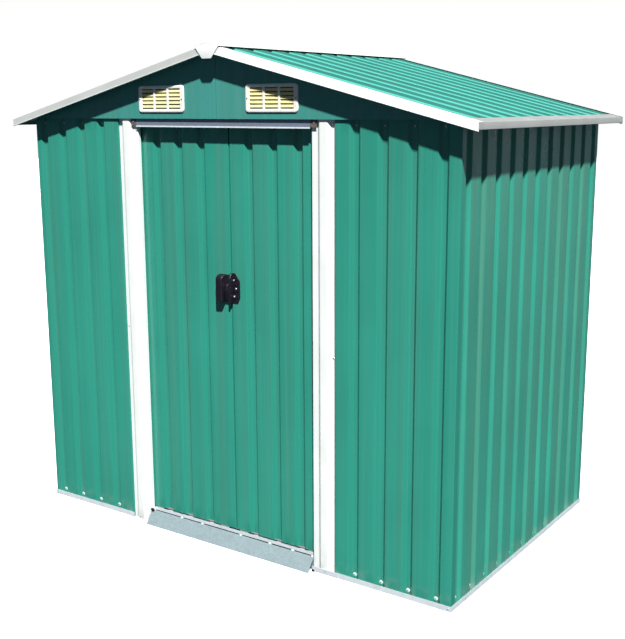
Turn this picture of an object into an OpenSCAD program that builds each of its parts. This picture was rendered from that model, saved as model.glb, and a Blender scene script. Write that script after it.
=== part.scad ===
// Metal storage shed: ribbed steel sheets on a light frame, a low gable roof and
// two door leaves that slide apart behind the front walls.
// Millimetres. X runs along the front, Y from the front to the back, Z is up.
// The origin is on the ground under the middle of the shed.

/* [Shed] */
// Width over the two side walls
body_w = 1890; // [1760:1:2400]
// Depth over the front and back walls
body_d = 1160; // [900:1:1800]
// Height of the walls, up to the foot of the gables
wall_h = 1585; // [1300:1:2000]
// Slope of the roof, in degrees
roof_pitch = 14; // [11:0.5:20]
// How far the roof stands out past each side wall
eave_overhang = 76; // [40:1:120]
// How far the roof stands out past the front and back walls
verge_overhang = 48; // [25:1:90]

/* [Ribbed sheet] */
// Thickness of the steel sheets
sheet_t = 0.8; // [0.5:0.1:1.2]
// Distance from one groove to the next
rib_pitch = 106; // [88:1:140]
// Width of a groove at its mouth
groove_w = 38; // [26:1:48]
// Width of a groove at its floor
groove_floor = 19; // [8:1:22]
// Depth of a groove
groove_deep = 11; // [6:0.5:14]
// First groove of the left front wall, from the corner
front_left_groove = 46; // [44:1:60]
// First groove of the right front wall, from the corner
front_right_groove = 61; // [44:1:70]
// First groove of the roof, from its front edge
roof_groove = 69.5; // [45:0.5:90]
// Flat left at least at each end of a side or back wall
end_flat = 28; // [27:1:60]

/* [Floor frame] */
// Thickness of the floor rails
rail_t = 0.8; // [0.6:0.1:1.5]
// Height of a floor rail's outer lip
rail_lip_h = 20; // [12:1:30]
// Height of a floor rail's inner lip
rail_back_h = 40; // [25:1:50]
// How far the outer lip stands in front of the walls
rail_lap = 2; // [1.5:0.1:5]
// Length of the corner rails along the side walls
rail_corner = 112; // [60:1:200]

/* [Wall frame] */
// Thickness of the frame's angles and channels
frame_t = 1.2; // [0.8:0.1:2]
// Leg of the corner posts
post_leg = 24; // [16:1:25]
// Height of the rails at the top and half way up the walls
wall_rail_h = 40; // [25:1:60]
// How far the top rails stand inwards
top_rail_d = 22; // [14:1:30]
// How far the middle rails stand inwards
mid_rail_d = 14; // [10:1:24]
// Height of the middle rails above the ground
mid_rail_z = 780; // [600:1:900]

/* [Doorway] */
// Width of the doorway between its jambs
door_w = 786; // [600:1:950]
// Width of a jamb
jamb_w = 104; // [90:1:130]
// How far a jamb's edges stand behind the front walls
jamb_set = 8; // [6:0.5:10]
// How far a jamb's raised middle stands in front of the walls
jamb_proud = 2; // [0:0.5:4]
// Height of the header over the doorway
header_h = 30; // [24:1:50]
// How far the header's lower lip stands in front of the walls
header_proud = 8; // [4:0.5:12]
// Where the header's two lengths meet, from the middle
header_joint = 30; // [-100:1:100]
// Height of the door ramp
ramp_h = 50; // [30:1:52]
// How far the ramp reaches out in front of the walls
ramp_reach = 30; // [15:1:60]

/* [Doors] */
// How far the leaves stand behind the front walls
leaf_inset = 30; // [30:0.5:40]
// How much wider a leaf is than half the doorway
leaf_lap = 51; // [40:1:60]
// Where the leaves meet, from the middle of the doorway
leaf_meet = 21.5; // [-25:0.5:25]
// Air round the leaves
leaf_gap = 5; // [5:0.5:8]
// Height of the leaves' lower edges above the ground
leaf_foot = 60; // [58:1:80]
// Depth of the folds along the leaves' side edges
leaf_fold = 15; // [8:1:20]
// First groove of the left leaf, from where the leaves meet
leaf_left_groove = 128; // [110:1:140]
// First groove of the right leaf, from where the leaves meet
leaf_right_groove = 85; // [80:1:110]
// Depth of the braces behind a leaf
brace_d = 14; // [8:1:20]
// Height of the handles' middles above the ground
handle_z = 985; // [850:1:1100]

/* [Vents] */
// Width of a vent
vent_w = 219; // [180:1:260]
// Height of a vent
vent_h = 95; // [80:1:110]
// Thickness of a vent's frame
vent_t = 7; // [5:0.5:10]
// Height of a vent's lower edge above the foot of the gable
vent_rise = 22; // [12:1:26]
// Height left between a vent's outer top corner and the roof
vent_roof_gap = 31; // [16:1:40]
// How far both front vents stand to the right of their places on an even gable
vent_shift = -7; // [-15:1:15]
// Louvre blades from the bottom of a vent to its top
vent_blades = 5; // [4:1:7]

/* [Roof] */
// Depth of the trims' faces at the front and back of the roof
rake_face = 27; // [20:1:40]
// Width of the same trims on top of the roof
rake_top = 28; // [18:1:40]
// Depth of the trims' faces along the eaves
eave_face = 22; // [15:1:35]
// Width of the same trims on top of the roof
eave_top = 40; // [25:1:60]
// Half the width of the ridge cap
cap_half = 54; // [40:1:80]
// How much the ridge cap is peaked above the roof's slopes
cap_peak = 3; // [1:0.5:8]
// How far the ridge cap's end tabs hang below the ridge
cap_tab = 47; // [35:1:70]
// Half the width of a tab's lower edge
cap_tab_half = 20; // [10:1:30]

/* [Hidden] */

$fn = 48;
green = [0.20, 0.62, 0.54];
white = [0.93, 0.95, 0.93];
zinc = [0.66, 0.71, 0.75];
cream = [0.97, 0.93, 0.74];
nylon = [0.85, 0.85, 0.80];
black = [0.16, 0.15, 0.17];

// Small gap between pieces that are only screwed together
seam = 0.6;
// Smaller gap under pieces that lie on the roof's slopes
lay = 0.1;
// Inner face of a groove, behind the face of its sheet
sheet_deep = groove_deep + sheet_t;
// Air between the grooves and the floor rails' inner lips
rail_gap = 0.7;
// Inner face of the floor rails, behind the face of the walls
rail_in = sheet_deep + rail_gap + rail_t;
// Length of the front and back walls' folds round the corners
corner_fold = 26;
// Hem along the doorway side of a front wall, down to the jamb
front_hem = jamb_set;
half_w = body_w / 2;
half_d = body_d / 2;

// Roof planes: the top of the sheets' flats, and the underside of their grooves
roof_half = half_w + eave_overhang;
roof_clear = 1.7;
roof_deep = sheet_deep / cos(roof_pitch);
ridge_z = wall_h + roof_clear + roof_deep + half_w * tan(roof_pitch);
ridge_gap = 6;
function roof_z(x) = ridge_z - tan(roof_pitch) * abs(x);
function roof_under(x) = roof_z(x) - roof_deep;
// How far a gable stands in front of its wall
gable_set = 7;
gable_flange = 37;

// Door track, inside the front wall and over the leaves
track_gap = 0.2;
track_front = sheet_deep + track_gap;
track_back = leaf_inset + sheet_deep + brace_d + track_gap;
track_h = header_h - leaf_gap;
leaf_top = wall_h - header_h;
leaf_w = door_w / 2 + leaf_lap;
left_edge = leaf_meet - leaf_gap / 2;
right_edge = leaf_meet + leaf_gap / 2;
// Runners: thickness of a hanger plate, and half the slot that it runs in
runner_t = 4;
runner_w = 40;
runner_in = leaf_inset + sheet_t;
runner_mid = runner_in + runner_t / 2;
slot_half = 10;
// Bottom guide: the width between its two lips, their faces, and their heights
guide_w = 23;
guide_front = leaf_inset - leaf_gap;
guide_back = guide_front + guide_w;
guide_front_h = leaf_foot - 3;
guide_back_h = leaf_foot - 10;
// How far a front wall's hem stands over the jamb's edge
hem_lap = 9;
// Width of a front wall, from the corner to its hem
front_w = half_w - door_w / 2 - jamb_w + hem_lap;
// Width of the flat strips along a jamb's two edges
jamb_edge = 26;
// Width of a vent's rim at its sides, and above and below its bays
vent_rim = 18;
vent_rim_z = 12;
// Handles: the thickness of their plates, and their lower edge
plate_t = 3;
handle_low = handle_z - 53;
// Middle of a vent
vent_x = half_w - (vent_rise + vent_h + vent_roof_gap - roof_clear) / tan(roof_pitch) - vent_w / 2;
vent_z = wall_h + vent_rise + vent_h / 2;

function reversed(list) = [for (i = [len(list) - 1 : -1 : 0]) list[i]];
// Groove places from the first one on, while a groove's whole mouth stays before the end
function grooves_from(first, end) = [for (p = [first : rib_pitch : end - groove_w / 2]) p];
// Groove places centred between two ends
function grooves_between(from, to) =
    let (count = floor((to - from - 2 * end_flat - groove_w) / rib_pitch))
    [for (k = [0 : count]) (from + to - count * rib_pitch) / 2 + k * rib_pitch];
// The line that a sheet's face follows across its grooves, at a depth
function groove_line(places, depth) = [
    for (p = places, c = [[-groove_w, 0], [-groove_floor, groove_deep], [groove_floor, groove_deep], [groove_w, 0]])
        [p + c[0] / 2, c[1] + depth]
];

// ---- Shapes that repeat ----

// Section of a ribbed sheet: along it in X, depth in Y. A fold turns an end inwards by its depth.
module sheet_outline(from, to, places, fold_from = 0, fold_to = 0) {
    t_from = fold_from > 0 ? sheet_t : 0;
    t_to = fold_to > 0 ? sheet_t : 0;
    face = concat([[from, fold_from], [from, 0]], groove_line(places, 0), [[to, 0], [to, fold_to]]);
    back = concat(
        [[from + t_from, max(fold_from, sheet_t)], [from + t_from, sheet_t]],
        groove_line(places, sheet_t),
        [[to - t_to, sheet_t], [to - t_to, max(fold_to, sheet_t)]]
    );
    polygon(concat(face, reversed(back)));
}

// An outline in X and Z, drawn out between two depths behind the front walls' face
module upright(from, to) {
    translate([0, to - half_d, 0]) rotate([90, 0, 0]) linear_extrude(to - from) children();
}

// A section in depth and Z, drawn out along X
module along_x(from, to) {
    translate([from, -half_d, 0]) rotate([90, 0, 90]) linear_extrude(to - from) children();
}

// The same for what stands at the back of the shed
module at_back() {
    mirror([0, 1, 0]) children();
}

module at_left() {
    mirror([1, 0, 0]) children();
}

// Stands a section of a side wall's sheet along the left wall: its depth runs inwards
module along_left_wall(z, height) {
    translate([-half_w, 0, z]) mirror([1, 0, 0]) rotate([0, 0, 90]) linear_extrude(height) children();
}

// A strip under a roof slope, on the right: between two places across and two heights from the slope
module slope_strip(x0, x1, n0, n1) {
    polygon([[x0, roof_z(x0) + n0], [x1, roof_z(x1) + n0], [x1, roof_z(x1) + n1], [x0, roof_z(x0) + n1]]);
}

module rounded_plate(w, h, r) {
    square([w - 2 * r, h], center = true);
    square([w, h - 2 * r], center = true);
    for (x = [-1, 1], y = [-1, 1]) translate([x * (w / 2 - r), y * (h / 2 - r)]) circle(r);
}

// ---- Floor frame ----

module footprint_band(outer, inner) {
    difference() {
        square([body_w - 2 * outer, body_d - 2 * outer], center = true);
        square([body_w - 2 * inner, body_d - 2 * inner], center = true);
    }
}

// The whole frame as one ring of channel, which the rails are cut from
module floor_ring() {
    linear_extrude(rail_t) footprint_band(-rail_lap, rail_in);
    linear_extrude(rail_lip_h) footprint_band(-rail_lap, rail_t - rail_lap);
    linear_extrude(rail_back_h) footprint_band(rail_in - rail_t, rail_in);
}

module floor_rail(x0, x1, y0, y1) {
    color(zinc) intersection() {
        floor_ring();
        translate([x0, y0, -1]) cube([x1 - x0, y1 - y0, rail_back_h + 2]);
    }
}

rail_end = door_w / 2 + jamb_w + 1;
rail_out = 10;
side_from = rail_corner - half_d;

module floor_rail_front_left() {
    floor_rail(-half_w - rail_out, -rail_end, -half_d - rail_out, side_from - seam);
}

module floor_rail_front_right() {
    floor_rail(rail_end, half_w + rail_out, -half_d - rail_out, side_from - seam);
}

module floor_rail_left() {
    floor_rail(-half_w - rail_out, -half_w + 2 * rail_in, side_from, -side_from);
}

module floor_rail_right() {
    floor_rail(half_w - 2 * rail_in, half_w + rail_out, side_from, -side_from);
}

module floor_rail_back() {
    floor_rail(-half_w - rail_out, half_w + rail_out, seam - side_from, half_d + rail_out);
}

// Sloping threshold: a bent plate with its back leg standing on the ground
module door_ramp() {
    reach = door_w / 2;
    back = 9;
    t = 1;
    slant = t * norm([ramp_h, ramp_reach + back]) / ramp_h;
    color(zinc) along_x(-reach, reach) polygon([
        [-ramp_reach, 0], [back - t, ramp_h], [back, ramp_h], [back, 0], [back - t, 0],
        [back - t, ramp_h - 2 * t], [slant - ramp_reach, 0]
    ]);
}

// Channel on the ground that the leaves' lower ends run in
module door_guide() {
    reach = half_w - rail_in - seam;
    color(zinc) along_x(-reach, reach) {
        translate([rail_in, 0]) square([guide_back + frame_t - rail_in, frame_t]);
        translate([guide_front - frame_t, 0]) square([frame_t, guide_front_h]);
        translate([guide_back, 0]) square([frame_t, guide_back_h]);
    }
}

// ---- Walls ----

// A front wall seen from its corner: a fold round the corner, the sheet, and a hem on the jamb
module front_wall_sheet(first) {
    color(green) translate([-half_w, -half_d, rail_t]) linear_extrude(wall_h - rail_t)
        sheet_outline(0, front_w, grooves_from(first, front_w - front_hem), corner_fold, front_hem);
}

module wall_front_left() {
    front_wall_sheet(front_left_groove);
}

module wall_front_right() {
    at_left() front_wall_sheet(front_right_groove);
}

module wall_left() {
    from = corner_fold + seam - half_d;
    color(green) along_left_wall(rail_t, wall_h - rail_t)
        sheet_outline(from, -from, grooves_between(-half_d, half_d));
}

module wall_right() {
    at_left() wall_left();
}

module wall_back() {
    color(green) at_back() translate([0, -half_d, rail_t]) linear_extrude(wall_h - rail_t)
        sheet_outline(-half_w, half_w, grooves_between(-half_w, half_w), corner_fold, corner_fold);
}

// ---- Wall frame ----

// Angle in the left front corner, up to a height
module corner_post(top) {
    translate([sheet_t - half_w, sheet_t - half_d, rail_back_h]) linear_extrude(top - rail_back_h)
        difference() {
            square(post_leg);
            translate([frame_t, frame_t]) square(post_leg);
        }
}

module corner_posts() {
    color(zinc) {
        corner_post(wall_h - track_h);
        at_left() corner_post(wall_h - track_h);
        at_back() corner_post(wall_h - wall_rail_h);
        at_left() at_back() corner_post(wall_h - wall_rail_h);
    }
}

// Channel section, open inwards: depth from the wall's face in X, height in Y
module channel(depth, height) {
    difference() {
        square([depth, height]);
        translate([frame_t, frame_t]) square([depth, height - 2 * frame_t]);
    }
}

// Channel of a side wall's top, with its upper flange along the roof's slope, on the right
module eave_rail_outline() {
    out = half_w - sheet_deep;
    in = out - top_rail_d;
    low = wall_h - wall_rail_h;
    function flange_z(x) = roof_under(x) - 2 * lay;
    polygon([
        [out, low], [out, flange_z(out)], [in, flange_z(in)], [in, flange_z(in) - frame_t],
        [out - frame_t, flange_z(out - frame_t) - frame_t], [out - frame_t, low + frame_t],
        [in, low + frame_t], [in, low]
    ]);
}

module top_rails() {
    side_front = track_back + seam;
    side_back = body_d - sheet_deep - top_rail_d - seam;
    color(zinc) {
        upright(side_front, side_back) eave_rail_outline();
        at_left() upright(side_front, side_back) eave_rail_outline();
        at_back() along_x(sheet_deep - half_w, half_w - sheet_deep)
            translate([sheet_deep, wall_h - wall_rail_h]) channel(top_rail_d, wall_rail_h);
    }
}

module mid_rails() {
    side_front = leaf_inset + sheet_deep + brace_d;
    side_len = body_d - side_front - sheet_deep - mid_rail_d - seam;
    color(zinc) {
        for (side = [0, 1]) mirror([side, 0, 0])
            translate([sheet_deep - half_w, side_front - half_d + side_len, mid_rail_z]) rotate([90, 0, 0])
                linear_extrude(side_len) channel(mid_rail_d, wall_rail_h);
        at_back() along_x(sheet_deep - half_w, half_w - sheet_deep)
            translate([sheet_deep, mid_rail_z]) channel(mid_rail_d, wall_rail_h);
    }
}

// ---- Gables and vents ----

// Plain sheet of the front gable's right half, with a flange along its foot and a hole behind its vent
module gable_half(place) {
    mid = seam;
    under_roof = 0.5;
    color(green) {
        upright(-gable_set, sheet_t - gable_set) difference() {
            polygon([
                [mid, wall_h], [half_w, wall_h], [half_w, roof_under(half_w) - under_roof],
                [mid, roof_under(mid) - under_roof]
            ]);
            translate([place, vent_z]) square([vent_w - 2 * vent_rim, vent_h - 2 * vent_rim_z], center = true);
        }
        upright(-gable_set, gable_flange - gable_set) translate([mid, wall_h])
            square([half_w - mid, sheet_t]);
    }
}

module gable_front_right() {
    gable_half(vent_x + vent_shift);
}

module gable_front_left() {
    at_left() gable_half(vent_x - vent_shift);
}

module gable_back_right() {
    at_back() gable_half(vent_x);
}

module gable_back_left() {
    at_back() at_left() gable_half(vent_x);
}

// Moulded louvre: a frame with three bays, and sloping blades with open slots between them
module vent(place) {
    bay_h = vent_h - 2 * vent_rim_z;
    bar = 10;
    corner_r = 12;
    bay_w = (vent_w - 2 * vent_rim - 2 * bar) / 3;
    slot = 0.3;
    pitch = bay_h / (vent_blades + slot);
    blade_t = 2;
    blade_rise = (1 - slot) * pitch - blade_t;
    face = -gable_set - vent_t;
    translate([place, 0, vent_z]) {
        color(white) upright(face, -gable_set) difference() {
            rounded_plate(vent_w, vent_h, corner_r);
            for (k = [-1, 0, 1]) translate([k * (bay_w + bar), 0]) square([bay_w, bay_h], center = true);
        }
        color(cream) for (i = [0 : vent_blades - 1]) translate([0, 0, (i + slot) * pitch - bay_h / 2])
            along_x(vent_rim / 2 - vent_w / 2, vent_w / 2 - vent_rim / 2) polygon([
                [face + 1, 0], [face + 1, blade_t], [-gable_set - 1, blade_rise + blade_t], [-gable_set - 1, blade_rise]
            ]);
    }
}

module vent_front_right() {
    vent(vent_x + vent_shift);
}

module vent_front_left() {
    at_left() vent(vent_x - vent_shift);
}

module vent_back_right() {
    at_back() vent(vent_x);
}

module vent_back_left() {
    at_back() at_left() vent(vent_x);
}

// ---- Roof ----

// Bar under the roof between two places across, from gable to gable, with its top along the slope
module roof_bar(x0, x1, leg) {
    foot = roof_under(x1) - leg;
    function top(x) = roof_under(x) - 2 * lay;
    upright(sheet_t - gable_set, body_d + gable_set - sheet_t) polygon([
        [x0, foot], [x0, top(x0)], [x1, top(x1)], [x1, foot], [x1 - frame_t, foot],
        [x1 - frame_t, top(x1 - frame_t) - frame_t], [x0 + frame_t, top(x0 + frame_t) - frame_t],
        [x0 + frame_t, foot]
    ]);
}

// Peaked channel along the ridge
module ridge_beam() {
    half = 20;
    leg = 35;
    foot = roof_under(half) - leg;
    function top(x) = roof_under(x) - 2 * lay;
    color(zinc) upright(sheet_t - gable_set, body_d + gable_set - sheet_t) polygon([
        [-half, foot], [-half, top(half)], [0, top(0)], [half, top(half)], [half, foot],
        [half - frame_t, foot], [half - frame_t, top(half - frame_t) - frame_t], [0, top(0) - frame_t],
        [frame_t - half, top(half - frame_t) - frame_t], [frame_t - half, foot]
    ]);
}

module purlins() {
    place = half_w / 2;
    half = 18;
    color(zinc) for (side = [0, 1]) mirror([side, 0, 0]) roof_bar(place - half, place + half, 30);
}

module roof_beams() {
    ridge_beam();
    purlins();
}

// Sheet of the right slope, with its grooves running down from the ridge
module roof_panel_right() {
    from = -half_d - verge_overhang;
    grooves = [for (p = grooves_from(roof_groove, -2 * from - 1)) p + from];
    color(green) translate([0, 0, ridge_z]) rotate([0, roof_pitch, 0]) translate([ridge_gap, 0, 0])
        rotate([90, 0, 90]) linear_extrude(roof_half / cos(roof_pitch) - ridge_gap)
            mirror([0, 1]) sheet_outline(from, -from, grooves);
}

module roof_panel_left() {
    at_left() roof_panel_right();
}

// Faces of the trims at the front of the roof, and how far the bead along their foot stands out
rake_in = -verge_overhang - 4 * lay;
rake_out = rake_in - sheet_t;
rake_bead = 2;

// Trim along the right eave: a face, a lip below it, and a flange on the roof between the rake trims
module eave_trim_right() {
    low = roof_z(roof_half) - eave_face;
    lip = 8;
    color(white) {
        upright(rake_out, body_d - rake_out) polygon([
            [roof_half + lay, low], [roof_half + lay + sheet_t, low],
            [roof_half + lay + sheet_t, roof_z(roof_half) + lay + sheet_t],
            [roof_half + lay, roof_z(roof_half) + lay + sheet_t]
        ]);
        upright(rake_in + seam, body_d - rake_in - seam)
            translate([roof_half - lip, low]) square([lip + lay + sheet_t / 2, sheet_t]);
        upright(rake_out + rake_top + seam, body_d - rake_out - rake_top - seam)
            slope_strip(roof_half - eave_top, roof_half + lay + sheet_t / 2, lay, lay + sheet_t);
    }
}

module eave_trim_left() {
    at_left() eave_trim_right();
}

// Trim along the front of the right slope: a face with a bead along its foot, and a flange on the roof
module rake_trim() {
    start = seam / 2;
    bead_h = 3;
    color(white) {
        upright(rake_out, rake_in) slope_strip(start, roof_half, -rake_face, lay + sheet_t);
        upright(rake_out, rake_out + rake_top) slope_strip(start, roof_half, lay, lay + sheet_t);
        upright(rake_out - rake_bead, rake_out + sheet_t / 2)
            slope_strip(start, roof_half, -rake_face, bead_h - rake_face);
    }
}

module rake_trim_front_right() {
    rake_trim();
}

module rake_trim_front_left() {
    at_left() rake_trim();
}

module rake_trim_back_right() {
    at_back() rake_trim();
}

module rake_trim_back_left() {
    at_back() at_left() rake_trim();
}

// Peaked strip over the ridge, with a tapered tab bent down over each end
module ridge_cap() {
    edge_z = roof_z(cap_half) + sheet_t + 2 * lay;
    peak_z = ridge_z + sheet_t + cap_peak;
    tab_in = rake_out - rake_bead - seam;
    tab_out = tab_in - sheet_t;
    color(white) {
        upright(tab_out, body_d - tab_out) polygon([
            [-cap_half, edge_z], [0, peak_z], [cap_half, edge_z],
            [cap_half, edge_z + sheet_t], [0, peak_z + sheet_t], [-cap_half, edge_z + sheet_t]
        ]);
        for (end = [0, 1]) mirror([0, end, 0]) upright(tab_out, tab_in) polygon([
            [-cap_half, edge_z + sheet_t / 2], [0, peak_z + sheet_t / 2], [cap_half, edge_z + sheet_t / 2],
            [cap_tab_half, ridge_z - cap_tab], [-cap_tab_half, ridge_z - cap_tab]
        ]);
    }
}

// ---- Doorway ----

// Section of the right jamb: across in X, depth in Y, with its inner edge folded back to a depth
module jamb_outline(return_d) {
    in = door_w / 2;
    out = in + jamb_w;
    slope = 18;
    rise_in = in + jamb_edge;
    rise_out = out - jamb_edge;
    function jamb_line(d) = [
        [rise_in, jamb_set + d], [rise_in + slope, d - jamb_proud], [rise_out - slope, d - jamb_proud],
        [rise_out, jamb_set + d], [out, jamb_set + d]
    ];
    polygon(concat(
        [[in, return_d], [in, jamb_set]], jamb_line(0),
        reversed(jamb_line(sheet_t)), [[in + sheet_t, jamb_set + sheet_t], [in + sheet_t, return_d]]
    ));
}

// The fold is cut back at the top, where the track passes behind it
module door_jamb_right() {
    foot = 3;
    under_track = wall_h - track_h - seam;
    color(white) translate([0, -half_d, foot]) {
        linear_extrude(under_track - foot) jamb_outline(guide_front - frame_t - 3 * seam);
        linear_extrude(wall_h - foot) jamb_outline(track_front);
    }
}

module door_jamb_left() {
    at_left() door_jamb_right();
}

// Header in front of the jambs' inner edges, in two lengths: a web and a flange under the gable, and
// between the jambs a lip that stands forward
module door_header() {
    reach = door_w / 2 + jamb_edge - 1;
    lip_reach = door_w / 2 - 1;
    low = wall_h - header_h;
    lip_h = 4.5;
    step = low + lip_h;
    flange = jamb_set - seam;
    t = sheet_t;
    color(zinc) for (side = [-1, 1]) {
        joint = header_joint + side * seam / 2;
        along_x(min(joint, side * reach), max(joint, side * reach)) polygon([
            [0, step - t], [0, wall_h], [flange, wall_h], [flange, wall_h - t], [t, wall_h - t], [t, step - t]
        ]);
        along_x(min(joint, side * lip_reach), max(joint, side * lip_reach)) polygon([
            [-header_proud, low], [-header_proud, step], [t / 2, step], [t / 2, step - t],
            [t - header_proud, step - t], [t - header_proud, low]
        ]);
    }
}

// Channel over the leaves, open below, whose two lips carry the leaves' runners
module door_track() {
    low = wall_h - track_h;
    t = frame_t;
    color(zinc) along_x(sheet_deep - half_w, half_w - sheet_deep) difference() {
        translate([track_front, low]) square([track_back - track_front, track_h]);
        translate([track_front + t, low + t]) square([track_back - track_front - 2 * t, track_h - 2 * t]);
        translate([runner_mid - slot_half, low - t]) square([2 * slot_half, 3 * t]);
    }
}

// ---- Door leaves ----

left_grooves = grooves_from(leaf_left_groove, leaf_w - 10);
right_grooves = grooves_from(leaf_right_groove, leaf_w - 10);

// A leaf's sheet, drawn to the right from where the leaves meet
module leaf_sheet(grooves) {
    color(green) translate([0, leaf_inset - half_d, leaf_foot]) linear_extrude(leaf_top - leaf_foot)
        sheet_outline(0, leaf_w, grooves, leaf_fold, leaf_fold);
}

// Three channels across a leaf's back, between its folded edges
module leaf_braces() {
    above_foot = 12;
    below_top = 4;
    low = leaf_foot + above_foot;
    high = leaf_top - wall_rail_h - below_top;
    color(zinc) for (z = [low, (low + high) / 2, high])
        along_x(sheet_t + seam, leaf_w - sheet_t - seam)
            translate([leaf_inset + sheet_deep, z]) channel(brace_d, wall_rail_h);
}

// Hangers over a leaf and glides under it, on the flats next to its first and last grooves
module leaf_runners(grooves) {
    first = grooves[0];
    last = grooves[len(grooves) - 1];
    beyond = last + rib_pitch / 2;
    outer = beyond + runner_w / 2 < leaf_w - 4 ? beyond : last - rib_pitch / 2;
    guide_mid = (guide_front + guide_back) / 2;
    // Hanger: how far down the leaf it is screwed on, and the slider at its top
    hanger_down = 50;
    hanger_up = leaf_gap + 8;
    slider = [28, 8];
    slider_z = wall_h - track_h + frame_t + 1;
    // Glide: how far it hangs under the leaf, and the shoe at its foot
    glide_down = 34;
    glide_up = 46;
    shoe = [18, 14];
    color(nylon) for (x = [(first - groove_w / 2) / 2, outer]) translate([x - runner_w / 2, 0, 0]) {
        along_x(0, runner_w) {
            translate([runner_in, leaf_top - hanger_down]) square([runner_t, hanger_down + hanger_up]);
            translate([runner_mid - slider.x / 2, slider_z]) square(slider);
        }
        along_x(0, runner_w) translate([0, leaf_foot - glide_down]) {
            translate([runner_in, 0]) square([runner_t, glide_down + glide_up]);
            translate([guide_mid - shoe.x / 2, 0]) square(shoe);
        }
    }
}

module on_left_leaf() {
    translate([left_edge, 0, 0]) at_left() children();
}

module on_right_leaf() {
    translate([right_edge, 0, 0]) children();
}

module door_leaf_left() {
    on_left_leaf() leaf_sheet(left_grooves);
}

module door_leaf_right() {
    on_right_leaf() leaf_sheet(right_grooves);
}

module leaf_braces_left() {
    on_left_leaf() leaf_braces();
}

module leaf_braces_right() {
    on_right_leaf() leaf_braces();
}

module leaf_runners_left() {
    on_left_leaf() leaf_runners(left_grooves);
}

module leaf_runners_right() {
    on_right_leaf() leaf_runners(right_grooves);
}

// Left handle: a plate with a deep block to pull
module door_handle_left() {
    plate_w = 57;
    plate_h = 102;
    corner_r = 5;
    grip_w = 23;
    grip_at = 16;
    face = leaf_inset - 27;
    high = plate_h - 2;
    color(black) on_left_leaf() translate([0, 0, handle_low]) {
        upright(leaf_inset - plate_t, leaf_inset) translate([plate_w, plate_h] / 2)
            rounded_plate(plate_w, plate_h, corner_r);
        along_x(grip_at, grip_at + grip_w) polygon([
            [leaf_inset - 2, 1], [face + 4, 1], [face, 5], [face, high - 10], [face + 8, high - 2],
            [leaf_inset - 2, high]
        ]);
    }
}

// Right handle: a plate with two cut corners and an upright fin along the leaf's edge
module door_handle_right() {
    plate_w = 38;
    plate_h = 109;
    fin_t = 5;
    face = leaf_inset - 22;
    color(black) on_right_leaf() translate([0, 0, handle_low]) {
        upright(leaf_inset - plate_t, leaf_inset) polygon([
            [0, 0], [plate_w - 10, 0], [plate_w, 20], [plate_w, plate_h - 27], [plate_w - 19, plate_h], [0, plate_h]
        ]);
        along_x(0, fin_t) polygon([
            [leaf_inset - 2, 0], [face + 4, 0], [face, 4], [face, plate_h - 16], [face + 12, plate_h],
            [leaf_inset - 2, plate_h]
        ]);
    }
}

floor_rail_front_left();
floor_rail_front_right();
floor_rail_left();
floor_rail_right();
floor_rail_back();
door_ramp();
door_guide();
wall_front_left();
wall_front_right();
wall_left();
wall_right();
wall_back();
corner_posts();
top_rails();
mid_rails();
gable_front_left();
gable_front_right();
gable_back_left();
gable_back_right();
vent_front_left();
vent_front_right();
vent_back_left();
vent_back_right();
roof_beams();
roof_panel_left();
roof_panel_right();
eave_trim_left();
eave_trim_right();
rake_trim_front_left();
rake_trim_front_right();
rake_trim_back_left();
rake_trim_back_right();
ridge_cap();
door_jamb_left();
door_jamb_right();
door_header();
door_track();
door_leaf_left();
door_leaf_right();
leaf_braces_left();
leaf_braces_right();
leaf_runners_left();
leaf_runners_right();
door_handle_left();
door_handle_right();
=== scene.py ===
import math

import bpy
import numpy as np
from bpy.props import FloatProperty, FloatVectorProperty, IntProperty, PointerProperty
from mathutils import Matrix, Vector


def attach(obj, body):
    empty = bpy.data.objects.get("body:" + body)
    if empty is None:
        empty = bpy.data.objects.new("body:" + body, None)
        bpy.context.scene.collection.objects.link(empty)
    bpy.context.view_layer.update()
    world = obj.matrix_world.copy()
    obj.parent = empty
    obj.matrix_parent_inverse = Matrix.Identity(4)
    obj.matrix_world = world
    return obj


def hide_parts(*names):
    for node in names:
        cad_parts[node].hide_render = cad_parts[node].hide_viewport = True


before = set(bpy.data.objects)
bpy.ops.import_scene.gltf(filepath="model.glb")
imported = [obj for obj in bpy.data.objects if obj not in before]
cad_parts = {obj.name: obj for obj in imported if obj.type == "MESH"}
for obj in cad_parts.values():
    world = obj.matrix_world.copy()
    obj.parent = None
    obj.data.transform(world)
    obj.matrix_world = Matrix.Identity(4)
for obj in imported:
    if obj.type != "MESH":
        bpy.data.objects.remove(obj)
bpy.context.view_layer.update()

bl_info = {
    "name": "Metal Storage Shed",
    "version": (1, 0, 0),
    "blender": (4, 5, 0),
    "location": "View3D > Sidebar > Shed",
    "description": "Bent steel sheets, trims, louvres, handles and screws for a small storage shed",
    "category": "Add Mesh",
}

MM = 0.001
X = np.array([1.0, 0.0, 0.0])
Y = np.array([0.0, 1.0, 0.0])
Z = np.array([0.0, 0.0, 1.0])
SIDES = {-1: "left", 1: "right"}
ENDS = {-1: "front", 1: "back"}


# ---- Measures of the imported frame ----

def corners(node):
    """Corner points of a CAD node, each once, in metres."""
    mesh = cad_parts[node].data
    flat = np.empty(3 * len(mesh.vertices), np.float32)
    mesh.vertices.foreach_get("co", flat)
    return np.unique(np.round(flat.reshape(-1, 3).astype(float), 5), axis=0)


def near(values, place, within=0.15 * MM):
    return np.abs(values - place) < within


def extent(points):
    return points.min(0), points.max(0)


def box(*nodes):
    """Lowest and highest corner of several CAD nodes together."""
    return extent(np.concatenate([corners(node) for node in nodes]))


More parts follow.
